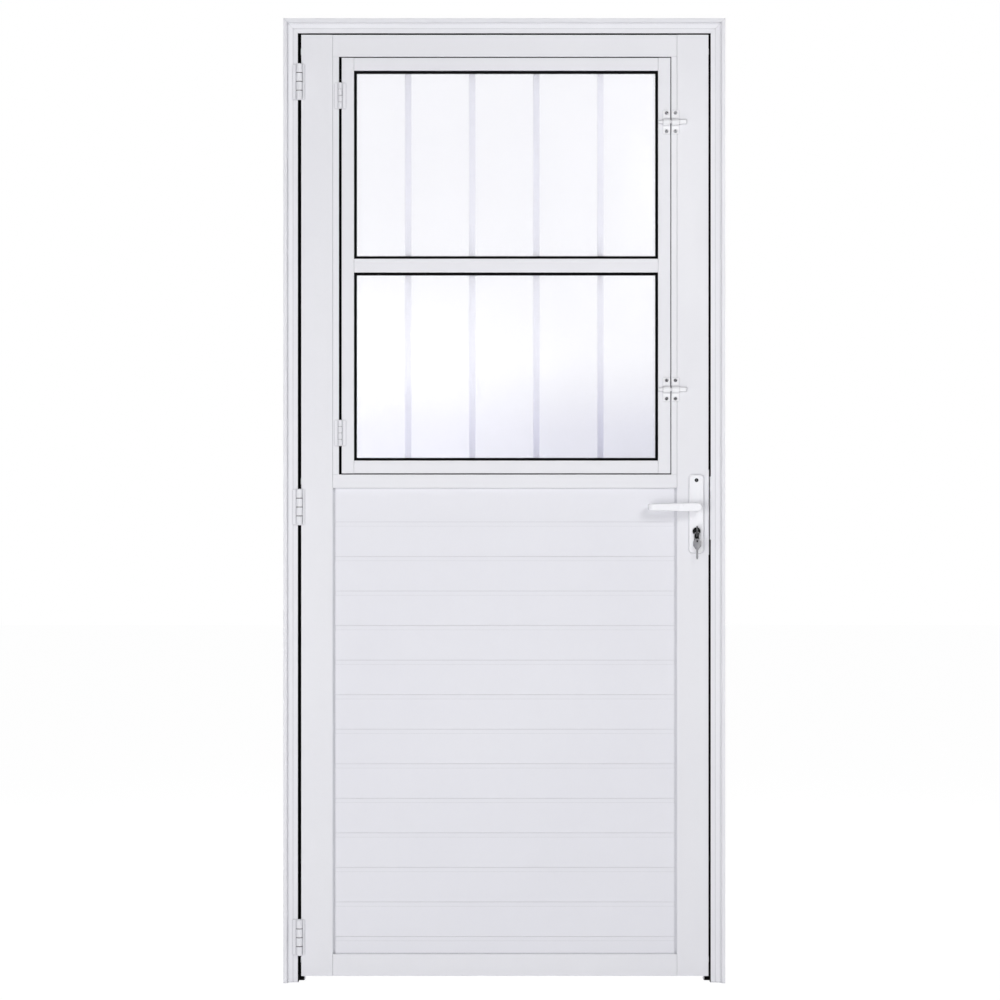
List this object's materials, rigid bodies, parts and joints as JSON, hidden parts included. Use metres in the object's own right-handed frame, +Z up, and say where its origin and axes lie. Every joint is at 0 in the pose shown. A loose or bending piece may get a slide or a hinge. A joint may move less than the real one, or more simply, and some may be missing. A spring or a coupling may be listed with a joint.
{
  "type": "door",
  "caption": "White framed metal door with a boarded lower half, a hinged glazed hatch with a grille above, two barrel latches, lever handles and a keyed lock.",
  "frame": {"origin": "floor level, in the middle of the doorway's width and of the leaf's thickness, which is the bottom centre of the whole part", "axes": "+X from the hinge side to the lock side, +Z up, and +Y through the doorway away from the side with the hinge barrels"},
  "size_m": [0.967, 0.148, 2.111],
  "materials": {
    "white_coat": "satin white powder coat on aluminium profile",
    "board_coat": "satin white powder coat on thin board profile",
    "handle_coat": "smooth white enamel on cast metal",
    "latch_coat": "satin white coat on steel",
    "plug_plastic": "smooth",
    "seal_rubber": "matt black",
    "washer_nylon": "matt black",
    "pane_glass": "pressed, textured and translucent",
    "bright_steel": "zinc plated",
    "screw_steel": "zinc plated",
    "screw_dark": "dark plated",
    "cylinder_dark": "dark plated",
    "key_steel": "nickel plated, worn"
  },
  "bodies": {
    "frame": {"jamb_hinge_side": "white_coat", "jamb_lock_side": "white_coat", "frame_head": "white_coat", "trim_hinge_side": "white_coat", "trim_lock_side": "white_coat", "trim_head": "white_coat", "frame_seal": "seal_rubber", "strike_plate": "white_coat", "hinge_frame_wings": "white_coat", "hinge_pins": "white_coat", "hinge_washers": "washer_nylon"},
    "leaf": {"stile_hinge_side": "white_coat", "stile_lock_side": "white_coat", "rail_top": "white_coat", "rail_middle": "white_coat", "rail_bottom": "white_coat", "stile_plugs": "plug_plastic", "lambri_boards": "board_coat", "panel_beads": "white_coat", "hatch_frame_hinge_side": "white_coat", "hatch_frame_lock_side": "white_coat", "hatch_frame_top": "white_coat", "hatch_frame_bottom": "white_coat", "hatch_seal": "seal_rubber", "grille_bars": "white_coat", "hinge_leaf_wings": "white_coat", "hatch_hinge_frame_wings": "white_coat", "hatch_hinge_pins": "white_coat", "latch_guides": "latch_coat", "guide_screws": "screw_steel", "lock_case": "bright_steel", "lock_faceplate": "white_coat", "cylinder_body": "cylinder_dark", "escutcheon_outer": "handle_coat", "escutcheon_inner": "handle_coat", "escutcheon_screws": "screw_dark"},
    "sash": {"sash_stile_hinge_side": "white_coat", "sash_stile_lock_side": "white_coat", "sash_rail_top": "white_coat", "sash_rail_bottom": "white_coat", "sash_muntin": "white_coat", "pane_upper": "pane_glass", "pane_lower": "pane_glass", "gasket_upper": "seal_rubber", "gasket_lower": "seal_rubber", "hatch_hinge_sash_wings": "white_coat", "latch_keepers": "latch_coat", "keeper_screws": "screw_steel"},
    "upper_bolt": {"latch_bolt_upper": "latch_coat"},
    "lower_bolt": {"latch_bolt_lower": "latch_coat"},
    "handle": {"handle_outer": "handle_coat", "handle_inner": "handle_coat", "spindle": "bright_steel"},
    "latch": {"spring_latch": "bright_steel"},
    "key_set": {"cylinder_plug": "cylinder_dark", "key": "key_steel", "key_ring": "key_steel", "spare_key": "key_steel"},
    "lock_bolt": {"deadbolt": "bright_steel"}
  },
  "joints": [
    {"name": "leaf_swing", "type": "hinge", "parent": "frame", "child": "leaf", "pos_m": [-0.44875, -0.0235, 1], "axis": [0, 0, -1], "range_deg": [0, 95]},
    {"name": "sash_swing", "type": "hinge", "parent": "leaf", "child": "sash", "pos_m": [-0.3594, -0.0212, 1.57], "axis": [0, 0, -1], "range_deg": [0, 90]},
    {"name": "upper_bolt_slide", "type": "slide", "parent": "leaf", "child": "upper_bolt", "axis": [1, 0, 0], "range_m": [0, 0.027]},
    {"name": "lower_bolt_slide", "type": "slide", "parent": "leaf", "child": "lower_bolt", "axis": [1, 0, 0], "range_m": [0, 0.027]},
    {"name": "handle_turn", "type": "hinge", "parent": "leaf", "child": "handle", "pos_m": [0.4208, 0, 1.0417], "axis": [0, -1, 0], "range_deg": [0, 40], "stiffness_Nm_per_rad": 1, "springref_deg": -34.38},
    {"name": "spring_latch_slide", "type": "slide", "parent": "leaf", "child": "latch", "axis": [-1, 0, 0], "range_m": [0, 0.01]},
    {"name": "key_turn", "type": "hinge", "parent": "leaf", "child": "key_set", "pos_m": [0.4208, -0.03, 0.9887], "axis": [0, 1, 0], "range_deg": [0, 90]},
    {"name": "deadbolt_slide", "type": "slide", "parent": "leaf", "child": "lock_bolt", "axis": [1, 0, 0], "range_m": [0, 0.0141]}
  ],
  "couplings": [
    {"joint": "spring_latch_slide", "follows": "handle_turn", "m_per_rad": 0.014323},
    {"joint": "deadbolt_slide", "follows": "key_turn", "m_per_rad": 0.0089127}
  ]
}
